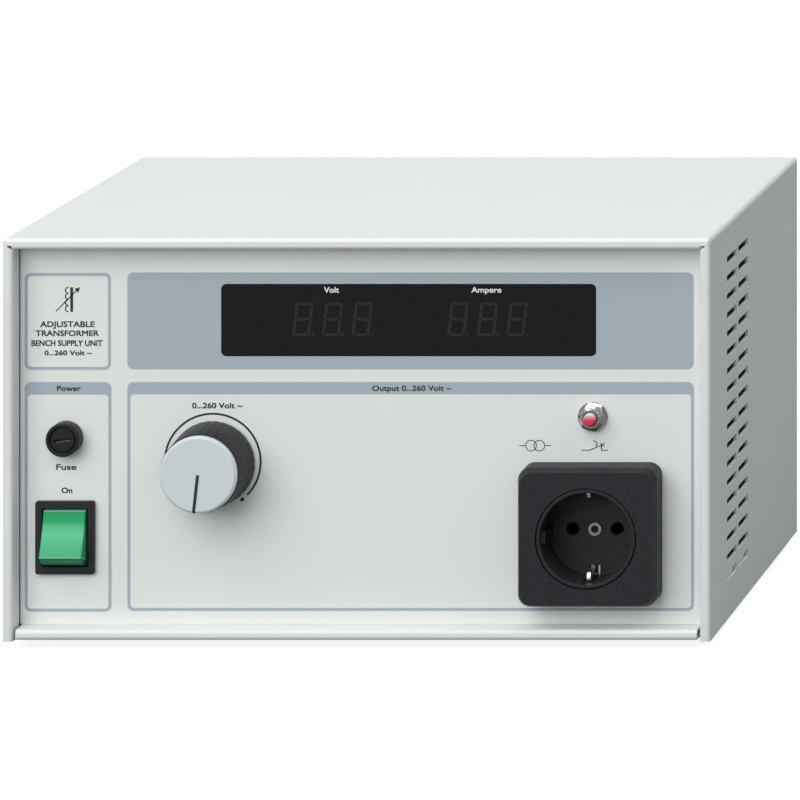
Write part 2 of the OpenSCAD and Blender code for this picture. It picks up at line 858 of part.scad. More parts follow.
module transformer_bracket() {
    color("gray") difference() {
        union() {
            block([knob_x - bracket_w / 2, knob_x + bracket_w / 2], [bracket_y, bracket_y + bracket_t],
                [tray_top, knob_z + 44]);
            block([knob_x - bracket_w / 2, knob_x + bracket_w / 2], [bracket_y, bracket_y + bracket_foot],
                [tray_top, tray_top + bracket_t]);
            for (x = [-1, 1]) translate([knob_x + x * (bracket_w / 2 - 1.5) - 1.5, bracket_y, tray_top])
                rotate([90, 0, 90]) linear_extrude(3) polygon([[0, 0], [bracket_foot, 0], [bracket_t, 80], [0, 80]]);
        }
        translate([knob_x, 0, knob_z]) {
            rod_y(9, bracket_y - 1, bracket_y + bracket_t + 1);
            for (k = [0 : 2]) translate(at_angle(clamp_bolt_r, bolt_angle + 120 * k))
                rod_y(m5_r + 0.2, bracket_y - 1, bracket_y + bracket_t + 1, 32);
        }
        for (p = bracket_spots)
            translate([p[0], p[1], tray_z]) cylinder(r = m5_r + 0.2, h = 10, $fn = 32);
    }
}

module bracket_screws() {
    color("silver") for (p = bracket_spots) translate([p[0], p[1], 0]) {
        translate([0, 0, tray_z - 2.2]) cylinder(r = 4.4, h = 2.2);
        translate([0, 0, tray_z]) cylinder(r = m5_r, h = 10, $fn = 32);
        translate([0, 0, tray_top + bracket_t]) cylinder(r = 8 / sqrt(3), h = 4, $fn = 6);
    }
}

// ---- Rotor: shaft, brush gear and knob ----

module drive_shaft() {
    color("silver") translate([knob_x, 0, knob_z]) difference() {
        rod_y(shaft_r, foil_y - 15, bracket_y + 7);
        rod_y(shaft_r + 1, bracket_y + 4.4, bracket_y + 5.4);
    }
    color("silver") translate([knob_x, 0, knob_z]) rod_y(shaft_r - 0.7, bracket_y + 4, bracket_y + 6);
}

// A corner of the stop lug, in the flat outline, at radius r and the angle a
function lug_corner(r, a) = [r * sin(a), r * cos(a)];

// Hub on the shaft, with the lug that meets the stop peg
module brush_hub() {
    half = (360 - travel_angle) / 2 - asin((peg_r + 0.4) / peg_ring);
    color("sienna") translate([knob_x, 0, knob_z]) slab_y(arm_y - 6, arm_y) difference() {
        union() {
            circle(12);
            polygon([lug_corner(8, zero_angle - half), lug_corner(lug_reach, zero_angle - half),
                lug_corner(lug_reach, zero_angle + half), lug_corner(8, zero_angle + half)]);
        }
        circle(shaft_r);
    }
}

module brush_arm() {
    color("goldenrod") translate([knob_x, 0, knob_z]) difference() {
        rotate([0, zero_angle, 0]) union() {
            slab_y(arm_y, arm_y + arm_t) {
                translate([-arm_w / 2, 0]) square([arm_w, track_r0]);
                translate([-arm_w / 2 - 2, track_r0 - 6]) square([arm_w + 4, track_r1 - track_r0 + 7]);
            }
            rod_y(11, arm_y, arm_y + arm_t);
        }
        rod_y(shaft_r, arm_y - 1, arm_y + arm_t + 1);
    }
}

module brush_holder() {
    mid = (track_r0 + track_r1) / 2;
    color("goldenrod") translate([knob_x, 0, knob_z]) rotate([0, zero_angle, 0]) difference() {
        block([-5, 5], [arm_y + arm_t, arm_y + arm_t + 7], [mid - 7, mid + 7]);
        block([-2, 2], [arm_y + arm_t - 1, arm_y + arm_t + 8], [mid - 5, mid + 5]);
    }
}

module carbon_brush() {
    mid = (track_r0 + track_r1) / 2;
    color("#303030") translate([knob_x, 0, knob_z]) rotate([0, zero_angle, 0])
        block([-2, 2], [arm_y + arm_t, coil_y0 - track_t - 0.35], [mid - 5, mid + 5]);
}

module knob_collet() {
    color("gold") translate([knob_x, 0, knob_z]) difference() {
        rod_y(7, foil_y - 16, foil_y - 2.5);
        rod_y(shaft_r, foil_y - 15, foil_y);
    }
}

module knob_body() {
    color("#2b2c30") translate([knob_x, 0, knob_z]) difference() {
        intersection() {
            slab_y(foil_y - knob_h + 2.2, foil_y - 0.8) difference() {
                circle(knob_d / 2 + 1);
                circle(7, $fn = 48);
            }
            cone_y(knob_d / 2 - (knob_h - 2) * tan(grip_slope), knob_d / 2, foil_y - knob_h + 1.2, foil_y - 0.8 + eps);
        }
        for (k = [0 : flutes - 1])
            rotate([0, 360 / flutes * k, 0]) translate([knob_d / 2 + flute_r - flute_depth, foil_y - 0.8, 0])
                rotate([0, 0, -grip_slope]) rotate([90, 0, 0]) translate([0, 0, -2])
                    cylinder(r = flute_r, h = knob_h + 2, $fn = 48);
        difference() {
            rod_y(14.6, foil_y - 10, foil_y);
            rod_y(9, foil_y - 11, foil_y + 1);
        }
    }
}

module knob_cap() {
    front = foil_y - knob_h;
    color("#c5cdcf") translate([knob_x, 0, knob_z]) {
        cone_y(knob_cap_d / 2 - 1, knob_cap_d / 2, front, front + 0.8 + eps);
        rod_y(knob_cap_d / 2, front + 0.8, front + 2.2);
        rod_y(6.9, front + 2.2 - eps, foil_y - 16);
    }
}

// ---- Rear ----

rear_slot_cols = 5;
rear_slot_rows = 12;

module rear_panel() {
    color("lightgray") difference() {
        block([-side_x + hood_t + 0.4, side_x - hood_t - 0.4], [rear_y - rear_t, rear_y],
            [tray_z + 0.1, top_z - hood_t - 0.4]);
        translate([inlet_x, 0, inlet_z]) {
            slab_y(rear_y - 3, rear_y + 1) square([inlet_w + 1, inlet_h + 1], center = true);
            for (s = [-1, 1]) translate([s * 20, 0, 0]) rod_y(m3_r + 0.1, rear_y - 3, rear_y + 1, 32);
        }
        for (col = [0 : rear_slot_cols - 1], row = [0 : rear_slot_rows - 1])
            translate([-120 + col * (slot_len + slot_gap), rear_y - 3, hood_z + 38 + row * slot_pitch])
                cube([slot_len, 5, slot_h]);
        for (p = hood_screw_spots)
            translate([p[0], 0, hood_z + p[1]]) rod_y(m4_r, rear_y - 3, rear_y + 1, 32);
    }
}

inlet_pin_spots = [[-7, -2], [7, -2], [0, 3]];

module inlet_body() {
    color("#26272b") translate([inlet_x, 0, inlet_z]) difference() {
        union() {
            slab_y(rear_y, rear_y + 2.6) round_rect(50, 24, 6);
            slab_y(rear_y - 15, rear_y + eps) round_rect(inlet_w + 0.8, inlet_h + 0.8, 2);
        }
        slab_y(rear_y + 2.6 - inlet_depth, rear_y + 4) round_rect(24.6, 16.6, 1.5);
        for (p = inlet_pin_spots) translate([p[0], 0, p[1]]) block([-1, 1], [rear_y - 16, rear_y], [-2, 2]);
        for (s = [-1, 1]) translate([s * 20, 0, 0]) {
            rod_y(m3_r + 0.1, rear_y - 1, rear_y + 4, 32);
            cone_y(m3_r + 0.1, 3.1, rear_y + 1.1, rear_y + 2.6 + eps);
        }
    }
}

module inlet_pins() {
    color("silver") for (p = inlet_pin_spots) translate([inlet_x + p[0], 0, inlet_z + p[1]])
        block([-1, 1], [rear_y - 24, rear_y + 0.6], [-2, 2]);
}

module inlet_screws() {
    color("silver") for (s = [-1, 1]) translate([inlet_x + s * 20, 0, inlet_z]) difference() {
        union() {
            cone_y(m3_r, 2.9, rear_y + 1.2, rear_y + 2.5);
            rod_y(m3_r, rear_y - 7, rear_y + 1.2 + eps, 32);
            hex_y(5.5, rear_y - rear_t - 2.4, rear_y - rear_t);
        }
        block([-1.7, 1.7], [rear_y + 1.9, rear_y + 3], [-0.3, 0.3]);
        block([-0.3, 0.3], [rear_y + 1.9, rear_y + 3], [-1.7, 1.7]);
    }
}

module earth_stud() {
    color("silver") translate([stud_x, stud_y, 0]) {
        translate([0, 0, tray_z - 0.3]) cylinder(r = 3, h = 20, $fn = 32);
        translate([0, 0, tray_top]) cylinder(r = 6, h = 1.2);
        translate([0, 0, tray_top + 1.2 - eps]) cylinder(r = 10 / sqrt(3), h = 5, $fn = 6);
    }
}

module terminal_block() {
    ways = 6;
    color("beige") translate([30, 30, tray_top]) difference() {
        cube([ways * 10, 22, 18]);
        for (k = [0 : ways - 1]) translate([k * 10 + 5, 0, 0]) {
            translate([0, 5.5, 8]) cylinder(r = 2.4, h = 12, $fn = 32);
            translate([0, 16.5, 8]) cylinder(r = 2.4, h = 12, $fn = 32);
        }
        for (k = [1 : ways - 1]) translate([k * 10 - 0.6, -1, 12]) cube([1.2, 24, 8]);
    }
}

hood();
hood_screws();
base_tray();
front_panel();
panel_overlay();
display_window();
display_board();
volt_digits();
amp_digits();
display_standoffs();
display_screws();
meter_transformer();
fuse_holder();
fuse_holder_nut();
fuse_holder_tags();
fuse_cap();
fuse_tube();
fuse_end_caps();
switch_housing();
switch_tags();
power_rocker();
breaker_body();
breaker_bushing();
breaker_nut();
breaker_tags();
reset_button();
socket_cover();
socket_insert();
socket_base();
socket_contacts();
earth_clip();
socket_screw();
toroid_core();
input_winding();
output_winding();
contact_track();
front_clamp();
rear_clamp();
transformer_bracket();
clamp_bolts();
bracket_screws();
bearing_bushes();
stop_peg();
drive_shaft();
brush_hub();
brush_arm();
brush_holder();
carbon_brush();
knob_collet();
knob_body();
knob_cap();
rear_panel();
inlet_body();
inlet_pins();
inlet_screws();
earth_stud();
terminal_block();
feet();
foot_screws();
foot_nuts();
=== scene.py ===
import json
import math

import bmesh
import bpy
from mathutils import Matrix, Vector


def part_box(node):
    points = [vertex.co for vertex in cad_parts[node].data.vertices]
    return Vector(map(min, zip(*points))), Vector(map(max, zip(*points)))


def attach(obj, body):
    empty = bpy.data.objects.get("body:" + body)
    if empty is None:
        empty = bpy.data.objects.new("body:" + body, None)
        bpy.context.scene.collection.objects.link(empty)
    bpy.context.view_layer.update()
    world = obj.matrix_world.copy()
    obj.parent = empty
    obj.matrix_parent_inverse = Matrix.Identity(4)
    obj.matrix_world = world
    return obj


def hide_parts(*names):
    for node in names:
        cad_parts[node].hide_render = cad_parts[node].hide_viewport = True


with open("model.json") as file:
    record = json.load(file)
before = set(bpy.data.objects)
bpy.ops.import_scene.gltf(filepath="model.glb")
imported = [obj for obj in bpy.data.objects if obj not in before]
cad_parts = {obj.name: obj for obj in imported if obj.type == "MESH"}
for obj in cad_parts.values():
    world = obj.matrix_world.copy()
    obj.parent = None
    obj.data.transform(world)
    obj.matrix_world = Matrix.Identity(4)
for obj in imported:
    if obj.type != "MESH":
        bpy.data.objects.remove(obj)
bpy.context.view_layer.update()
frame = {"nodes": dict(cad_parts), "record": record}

MM = 0.001
NODES = frame["nodes"]


# ---------------------------------------------------------------- places taken from the frame

def centre(node):
    lo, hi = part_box(node)
    return (lo + hi) / 2


HOOD_LO, HOOD_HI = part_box("hood")
RIM_Y = HOOD_LO.y
FACE_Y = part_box("panel_overlay")[0].y
KNOB = centre("knob_cap")
WINDOW = centre("display_window")
PRINT_LIFT = 0.04 * MM
# Angle of the pointer at rest, in degrees clockwise from straight up.
ZERO_ANGLE = 186.4

# The panel's print is placed from the middle of the meter window. These are in mm on the panel.
WINDOW_X, WINDOW_Z = 19.9, 133.65
WINDOW_W, WINDOW_H = 159.4, 30.7
PANEL_X = WINDOW.x - WINDOW_X * MM
PANEL_Z = WINDOW.z - WINDOW_Z * MM


def panel(x, z):
    """A point of the print in metres, from x beside the case's middle and z above the datum in mm."""
    return PANEL_X + x * MM, PANEL_Z + z * MM


# ---------------------------------------------------------------- camera

# The view is that of a view camera: the front panel is square on, while the depth lines run up to the
# right. A sheared parent gives this, and leaves the camera's own shift at zero. Distances are in metres.
CAMERA_BACK = 2.450
SHEAR_X = 0.2630
SHEAR_Z = 0.2244
AIM_X = 0.0187
AIM_Z = 0.1068
LENS_MM = 275.4


def link(o):
    bpy.context.scene.collection.objects.link(o)
    return o


def make_camera():
    data = bpy.data.cameras.new("camera")
    data.lens = LENS_MM
    data.sensor_width = 36.0
    data.clip_start = 0.05
    data.clip_end = 200.0
    camera = link(bpy.data.objects.new("camera", data))
    camera.parent = link(bpy.data.objects.new("camera_rig", None))
    camera.matrix_parent_inverse = Matrix((
        (1, -SHEAR_X, 0, SHEAR_X * RIM_Y),
        (0, 1, 0, 0),
        (0, -SHEAR_Z, 1, SHEAR_Z * RIM_Y),
        (0, 0, 0, 1)))
    camera.rotation_euler = (math.radians(90), 0, 0)
    camera.location = (AIM_X, RIM_Y - CAMERA_BACK, AIM_Z)
    bpy.context.scene.camera = camera


make_camera()

# ---------------------------------------------------------------- shader helpers


def srgb(r, g, b):
    def linear(c):
        c = c / 255.0
        return c / 12.92 if c <= 0.04045 else ((c + 0.055) / 1.055) ** 2.4
    return (linear(r), linear(g), linear(b))


class Shader:
    """A Principled material with short calls for the detail that most surfaces here share."""

    def __init__(self, name, color, rough, metallic=0.0):
        self.mat = bpy.data.materials.new(name)
        self.mat.use_nodes = True
        self.tree = self.mat.node_tree
        self.nodes = self.tree.nodes
        self.bsdf = self.nodes["Principled BSDF"]
        self.color = color
        self.rough = rough
        self.normal = None
        self.bsdf.inputs["Base Color"].default_value = (*color, 1.0)
        self.bsdf.inputs["Roughness"].default_value = rough
        self.bsdf.inputs["Metallic"].default_value = metallic
        self.coords = self.nodes.new("ShaderNodeTexCoord")

    def set(self, **values):
        for key, value in values.items():
            self.bsdf.inputs[key.replace("_", " ")].default_value = value
        return self

    def link(self, a, b):
        self.tree.links.new(a, b)

    def noise(self, per_mm, detail=2.0, stretch=(1, 1, 1), rough=0.5):
        """Noise with that many features a millimetre, stretched by the three factors."""
        mapping = self.nodes.new("ShaderNodeMapping")
        mapping.inputs["Scale"].default_value = Vector(stretch) * 1000.0
        self.link(self.coords.outputs["Object"], mapping.inputs["Vector"])
        node = self.nodes.new("ShaderNodeTexNoise")
        node.inputs["Scale"].default_value = per_mm
        node.inputs["Detail"].default_value = detail
        node.inputs["Roughness"].default_value = rough
        self.link(mapping.outputs["Vector"], node.inputs["Vector"])
        return node.outputs["Fac"]

    def spread(self, fac, low, high, mid=(0.3, 0.7)):
        """Maps the middle part of a value to the range from low to high."""
        node = self.nodes.new("ShaderNodeMapRange")
        node.inputs["From Min"].default_value = mid[0]
        node.inputs["From Max"].default_value = mid[1]
        node.inputs["To Min"].default_value = low
        node.inputs["To Max"].default_value = high
        self.link(fac, node.inputs["Value"])
        return node.outputs["Result"]

    def mottle(self, fac, amount):
        """Colour that drifts by the amount either side of the base colour."""
        mix = self.nodes.new("ShaderNodeMix")
        mix.data_type = "RGBA"
        # Inputs 6 and 7 and output 2 are the sockets of the colour form.
        dark = [c * (1 - amount) for c in self.color]
        light = [min(1.0, c * (1 + amount)) for c in self.color]
        mix.inputs[6].default_value = (*dark, 1)
        mix.inputs[7].default_value = (*light, 1)
        self.link(self.spread(fac, 0.0, 1.0), mix.inputs[0])
        self.link(mix.outputs[2], self.bsdf.inputs["Base Color"])
        return self

    def ramp(self, axis, low, high, stops):
        """Colour stops between two heights on one axis of the object's own space."""
        split = self.nodes.new("ShaderNodeSeparateXYZ")
        self.link(self.coords.outputs["Object"], split.inputs[0])
        ramp = self.nodes.new("ShaderNodeValToRGB")
        band = ramp.color_ramp
        while len(band.elements) < len(stops):
            band.elements.new(0.5)
        for element, (place, color) in zip(band.elements, stops):
            element.position = place
            element.color = (*color, 1)
        self.link(self.spread(split.outputs[axis], 0.0, 1.0, (low, high)), ramp.inputs[0])
        self.link(ramp.outputs[0], self.bsdf.inputs["Base Color"])
        return self

    def uneven(self, fac, amount):
        """Roughness that drifts by the amount either side of its base."""
        rough = self.spread(fac, self.rough - amount, self.rough + amount)
        self.link(rough, self.bsdf.inputs["Roughness"])
        return self

    def bump(self, fac, height_mm, strength=1.0):
        node = self.nodes.new("ShaderNodeBump")
        node.inputs["Strength"].default_value = strength
        node.inputs["Distance"].default_value = height_mm * MM
        self.link(fac, node.inputs["Height"])
        if self.normal:
            self.link(self.normal, node.inputs["Normal"])
        self.normal = node.outputs["Normal"]
        self.link(self.normal, self.bsdf.inputs["Normal"])
        return self


# ---------------------------------------------------------------- materials

def powder_coat(name, color):
    m = Shader(name, color, 0.48)
    m.mottle(m.noise(0.02, 3), 0.008)
    m.uneven(m.noise(0.15, 2), 0.05)
    m.bump(m.noise(1.3, 3, rough=0.6), 0.006)
    m.bump(m.noise(0.3, 2), 0.012)
    return m.mat


def printed_foil(name, color, rough=0.5):
    m = Shader(name, color, rough)
    m.mottle(m.noise(0.012, 3), 0.006)
    m.uneven(m.noise(0.4, 2), 0.04)
    m.bump(m.noise(3.0, 2), 0.002)
    return m.mat


def moulded(name, color, rough=0.5, grain=0.015, size=2.2, drift=0.05):
    m = Shader(name, color, rough).set(Specular_IOR_Level=0.32)
    m.mottle(m.noise(0.6, 3), drift)
    m.uneven(m.noise(0.8, 3), 0.06)
    m.bump(m.noise(size, 3, rough=0.7), grain)
    return m.mat


def metal(name, color, rough, brushed=(1, 1, 1)):
    m = Shader(name, color, rough, 1.0)
    m.mottle(m.noise(0.5, 2), 0.04)
    m.uneven(m.noise(1.5, 3, stretch=brushed), rough * 0.25)
    m.bump(m.noise(3.0, 2, stretch=brushed), 0.002)
    return m.mat


def button_red():
    """Clear red plastic that pales towards its domed top: a painted highlight in the base colour."""
    m = Shader("button_red", (0.7, 0.025, 0.08), 0.25).set(Coat_Weight=0.5, Coat_Roughness=0.1)
    z, half = centre("reset_button").z, 2.7 * MM
    # The ramp paints the highlight: red up to the middle, paling to near white at the top.
    m.ramp(2, z - half, z + half, (
        (0.0, (0.72, 0.03, 0.09)), (0.5, (0.72, 0.03, 0.09)), (0.72, (0.75, 0.3, 0.36)),
        (1.0, (0.85, 0.7, 0.7))))
    m.uneven(m.noise(0.5), 0.05)
    m.bump(m.noise(1.0), 0.004)
    return m.mat


def clip_steel():
    """Bright at the nose of the earth clip and near black further down the well: painted shade in the
    well.
    """
    m = Shader("clip_steel", (0.7, 0.69, 0.66), 0.22, 1.0)
    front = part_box("earth_clip")[0].y
    # The ramp paints the shade of the well: bright steel at the nose, near black further in.
    m.ramp(1, front + 4.5 * MM, front + 7.5 * MM, (
        (0.0, (0.78, 0.77, 0.74)), (1.0, (0.02, 0.02, 0.02))))
    m.uneven(m.noise(1.0), 0.05)
    m.bump(m.noise(2.0), 0.003)
    return m.mat


def fuse_glass():
    m = Shader("fuse_glass", (0.95, 0.97, 0.97), 0.05).set(Transmission_Weight=0.9)
    m.uneven(m.noise(0.5), 0.02)
    return m.mat


HOOD_PAINT = powder_coat("hood_paint", (0.765, 0.77, 0.78))
# Paler than the hood's paint: a painted highlight for the lit lower cut faces of the vent slots.
CUT_FACE_HIGHLIGHT = powder_coat("cut_edge", (0.98, 0.99, 0.98))
TRAY_PAINT = powder_coat("tray_paint", (0.81, 0.82, 0.82))
FOIL = printed_foil("panel_foil", (0.785, 0.805, 0.79))
INK_BLUE = printed_foil("ink_blue_grey", (0.39, 0.447, 0.50))
INK_DARK = printed_foil("ink_dark", srgb(34, 34, 40))
INK_WHITE = printed_foil("ink_white", (0.80, 0.82, 0.84))
BLACK = moulded("black_moulding", srgb(38, 38, 43), 0.45)
OUTLET_BLACK = moulded("outlet_moulding", srgb(36, 37, 41), 0.5, 0.06, 1.6, 0.25)
FUSE_BLACK = moulded("fuse_moulding", srgb(30, 31, 34), 0.42, 0.012, 2.0)
KNOB_BLACK = moulded("knob_black", srgb(32, 31, 36), 0.45, 0.01, 2.5)
SMOKE = moulded("smoked_window", srgb(21, 22, 24), 0.22, 0.001, 0.3, 0.08)
DIGIT_GREY = moulded("unlit_digit", srgb(37, 38, 42), 0.35, 0.002, 1.0)
CAP_GREY = moulded("cap_grey", (0.63, 0.69, 0.705), 0.45, 0.004, 3.0, 0.008)
# Pale grey: a painted highlight on the lit lower wall of the fuse cap's slot.
SLOT_HIGHLIGHT = moulded("slot_highlight", srgb(92, 94, 98), 0.5, 0.004, 3.0)
POINTER = moulded("pointer_ink", srgb(45, 50, 54), 0.5, 0.004, 3.0)
RED = button_red()
CHROME = metal("nickel", (0.70, 0.68, 0.66), 0.12)
STEEL = metal("zinc_steel", (0.66, 0.66, 0.64), 0.3)
BRASS = metal("brass_parts", (0.78, 0.58, 0.26), 0.28)
# The contacts are near black: painted shade that keeps the pin holes dark.
CONTACT_BRASS_SHADE = metal("contact_brass", (0.03, 0.024, 0.018), 0.6)
COPPER = metal("copper_wire", (0.72, 0.33, 0.16), 0.35, (1, 8, 1))
ALUMINIUM = metal("panel_metal", (0.7, 0.71, 0.72), 0.35, (1, 1, 12))
CLIP_STEEL = clip_steel()
# Near black: painted shade for the bottom of the screw's recess.
RECESS_SHADE = moulded("painted_recess_shade", (0.003, 0.003, 0.003), 0.7)
PHENOLIC = moulded("phenolic", srgb(96, 58, 40), 0.45)
PCB = moulded("board_green", (0.02, 0.14, 0.06), 0.35)
RUBBER = moulded("foot_rubber", srgb(38, 38, 40), 0.75, 0.03)
IVORY = moulded("terminal_plastic", (0.78, 0.74, 0.64), 0.5)
CARBON = moulded("carbon", (0.03, 0.03, 0.03), 0.6)
GLASS = fuse_glass()

# The rocker's own node is replaced by the piece rocker_lens, so its material here is never seen.
SLOT_MATERIAL = {
    "hood_paint": HOOD_PAINT, "tray_paint": TRAY_PAINT, "panel_metal": ALUMINIUM, "panel_print": FOIL,
    "smoked_window": SMOKE, "board_green": PCB, "digit_plastic": BLACK, "bright_steel": STEEL,
    "nickel": CHROME, "brass_parts": BRASS, "black_plastic": BLACK, "rocker_green": RED,
    "button_red": RED, "cap_grey": CAP_GREY, "phenolic": PHENOLIC, "copper_wire": COPPER,
    "core_steel": STEEL, "carbon": CARBON, "fuse_glass": GLASS, "foot_rubber": RUBBER,
    "terminal_plastic": IVORY,
}
NODE_MATERIAL = {
    "socket_cover": OUTLET_BLACK, "socket_insert": OUTLET_BLACK, "knob_body": KNOB_BLACK,
    "fuse_cap": FUSE_BLACK, "fuse_holder": FUSE_BLACK, "socket_contacts": CONTACT_BRASS_SHADE,
    "earth_clip": CLIP_STEEL,
}
# Edges of the moulded and turned parts that a tool would leave slightly round, in mm.
ROUNDED = {
    "socket_cover": 0.7, "socket_insert": 0.3, "socket_screw": 0.45, "switch_housing": 0.45,
    "knob_cap": 0.25, "knob_body": 0.25, "fuse_holder": 0.3, "fuse_cap": 0.15, "reset_button": 0.25,
    "breaker_nut": 0.12, "breaker_bushing": 0.12, "inlet_body": 0.3, "feet": 0.4, "hood_screws": 0.15,
}


def dress_cad_nodes():
    slots = {s["node"]: s["material_slot"] for s in frame["record"]["subparts"]}
    for name, node in NODES.items():
        node.data.materials.clear()
        node.data.materials.append(NODE_MATERIAL.get(name, SLOT_MATERIAL[slots[name]]))
        if name in ROUNDED:
            round_edges(node, ROUNDED[name] * MM)
    show_cut_edges(NODES["hood"])


def show_cut_edges(hood):
    """Gives the lower cut faces of the side walls' slots a paler paint: a painted highlight where these
    faces catch the light.
    """
    inner_x = HOOD_HI.x - 1.3 * MM
    below_z = HOOD_HI.z - 8 * MM
    hood.data.materials.append(CUT_FACE_HIGHLIGHT)
    for polygon in hood.data.polygons:
        middle = hood.matrix_world @ polygon.center
        if polygon.normal.z > 0.9 and abs(middle.x) > inner_x and middle.z < below_z:
            polygon.material_index = 1


def round_edges(o, width, segments=3):
    """Welds the mesh and rounds its sharp edges with modifiers, so the mesh itself stays as it is."""
    weld = o.modifiers.new("weld", "WELD")
    weld.merge_threshold = 1e-6
    bevel = o.modifiers.new("bevel", "BEVEL")
    bevel.width = width
    bevel.segments = segments
    bevel.limit_method = "ANGLE"
    bevel.angle_limit = math.radians(35)
    bevel.harden_normals = True


dress_cad_nodes()

# ---------------------------------------------------------------- flat print


def put(name, mesh, material, body):
    """Makes a piece of a mesh with the given material, riding on a body."""
    mesh.materials.clear()
    mesh.materials.append(material)
    piece = link(bpy.data.objects.new(name, mesh))
    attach(piece, body)
    return piece


# How far a print reaches into the face below it, and how far apart the strikes of its lettering lie.
PRINT_SUNK = 0.02 * MM
STRIKE_STEP = 0.004 * MM


class Print:
    """Collects flat outlines, and makes one thin piece of them that faces the front."""

    def __init__(self, name, face_y, lift=PRINT_LIFT):
        self.name = name
        self.front = face_y - lift
        self.thick = lift + PRINT_SUNK
        self.bm = bmesh.new()

    def add_curve(self, data, matrix=Matrix.Identity(4), layer=0):
        """Adds a filled curve as a thin slab, each layer a little in front of the one before."""
        data.extrude = self.thick / 2 / matrix.col[2].length
        temp = link(bpy.data.objects.new("temp", data))
        bpy.context.view_layer.update()
        depsgraph = bpy.context.evaluated_depsgraph_get()
        mesh = bpy.data.meshes.new_from_object(temp.evaluated_get(depsgraph))
        mesh.transform(matrix)
        mesh.transform(Matrix.Rotation(math.radians(90), 4, "X"))
        mesh.transform(Matrix.Translation((0, self.front + self.thick / 2 - layer * STRIKE_STEP, 0)))
        self.bm.from_mesh(mesh)
        bpy.data.objects.remove(temp)
        bpy.data.curves.remove(data)
        bpy.data.meshes.remove(mesh)

    def area(self, *loops):
        """Fills between closed loops of (x, z) in metres."""
        data = bpy.data.curves.new("area", "CURVE")
        data.dimensions = "2D"
        data.fill_mode = "BOTH"
        for loop in loops:
            spline = data.splines.new("POLY")
            spline.points.add(len(loop) - 1)
            for point, (x, z) in zip(spline.points, loop):
                point.co = (x, z, 0, 1)
            spline.use_cyclic_u = True
        self.add_curve(data)
        return self

    def line(self, points, width):
        """A stroke of square ends along points (x, z) in metres."""
        for (x0, z0), (x1, z1) in zip(points, points[1:]):
            along = Vector((x1 - x0, z1 - z0)).normalized() * width / 2
            side = Vector((-along.y, along.x))
            a, b = Vector((x0, z0)) - along * 0.8, Vector((x1, z1)) + along * 0.8
            self.area([tuple(a + side), tuple(b + side), tuple(b - side), tuple(a - side)])
        return self

    def text(self, words, x, z, cap, width, bold=0.09 * MM):
        """Lettering centred on x with its base line at z, capitals cap high and the words width wide.

        All are in metres. Five strikes a little apart give even, bold strokes."""
        strikes = ((0, 0), (-bold, -bold), (bold, -bold), (-bold, bold), (bold, bold))
        for layer, (dx, dz) in enumerate(strikes):
            data = text_curve(words)
            data.align_x = "CENTER"
            natural, height = text_size(words).x, text_size("H").y
            scale_x, scale_z = (width - 2 * bold) / natural, (cap - 2 * bold) / height
            move = Matrix.Translation((x + dx, z + dz + bold, 0))
            self.add_curve(data, move @ Matrix.Diagonal((scale_x, scale_z, scale_z, 1)), layer)
        return self

    def done(self, material, body="case"):
        mesh = bpy.data.meshes.new(self.name)
        self.bm.to_mesh(mesh)
        self.bm.free()
        return put(self.name, mesh, material, body)


def text_curve(words):
    data = bpy.data.curves.new("text", "FONT")
    data.body = words
    data.size = 1.0
    data.resolution_u = 4
    return data


def text_size(words):
    data = text_curve(words)
    temp = link(bpy.data.objects.new("measure", data))
    bpy.context.view_layer.update()
    size = temp.dimensions.copy()
    bpy.data.objects.remove(temp)
    bpy.data.curves.remove(data)
    return size


def ring(x, z, r, count=72):
    turns = [2 * math.pi * k / count for k in range(count)]
    return [(x + r * math.sin(a), z + r * math.cos(a)) for a in turns]


def rounded(x0, x1, z0, z1, r, top_r=None, count=8):
    """A rounded rectangle in mm on the panel, as a loop in metres."""
    top = r if top_r is None else top_r
    loop = []
    for cx, cz, start, radius in ((x1 - top, z1 - top, 0, top), (x0 + top, z1 - top, 90, top),
                                  (x0 + r, z0 + r, 180, r), (x1 - r, z0 + r, 270, r)):
        for k in range(count + 1):
            a = math.radians(start + 90 * k / count)
            loop.append(panel(cx + radius * math.cos(a), cz + radius * math.sin(a)))
    return loop


# The blue fields as x0, x1, z0, z1 on the panel in mm. The frames also say how deep their upper band is.
METER_FIELD = (-99.7, 141.1, 112.7, 153.9)
FRAME_LINE = 1.25
FRAMES = (
    ((-143.4, -106.7, 112.5, 153.7), FRAME_LINE),
    ((-143.4, -106.5, 9.7, 107.3), 5.3),
    ((-99.7, 141.2, 10.0, 107.3), 5.2),
)
FIELD_R, FRAME_INNER_R, WINDOW_R = 2.6, 1.7, 2.2
WINDOW_GAP = 0.05


def make_blue_print():
    p = Print("print_blue", FACE_Y)
    half_w, half_h = WINDOW_W / 2 + WINDOW_GAP, WINDOW_H / 2 + WINDOW_GAP
    p.area(rounded(*METER_FIELD, FIELD_R),
           rounded(WINDOW_X - half_w, WINDOW_X + half_w, WINDOW_Z - half_h, WINDOW_Z + half_h, WINDOW_R))
    for (x0, x1, z0, z1), band in FRAMES:
        p.area(rounded(x0, x1, z0, z1, FIELD_R),
               rounded(x0 + FRAME_LINE, x1 - FRAME_LINE, z0 + FRAME_LINE, z1 - band, FRAME_INNER_R))
    p.done(INK_BLUE)


def arc_points(x, z, r, a0, a1, count=96):
    """Points on an arc from a0 to a1, in degrees clockwise from straight up."""
    turns = [math.radians(a0 + (a1 - a0) * k / count) for k in range(count + 1)]
    return [(x + r * math.sin(a), z + r * math.cos(a)) for a in turns]


def arc_band(x, z, outer, inner, a0, a1, count=96):
    """A band between two arcs about one centre, as one loop."""
    return arc_points(x, z, outer, a0, a1, count) + arc_points(x, z, inner, a1, a0, count)


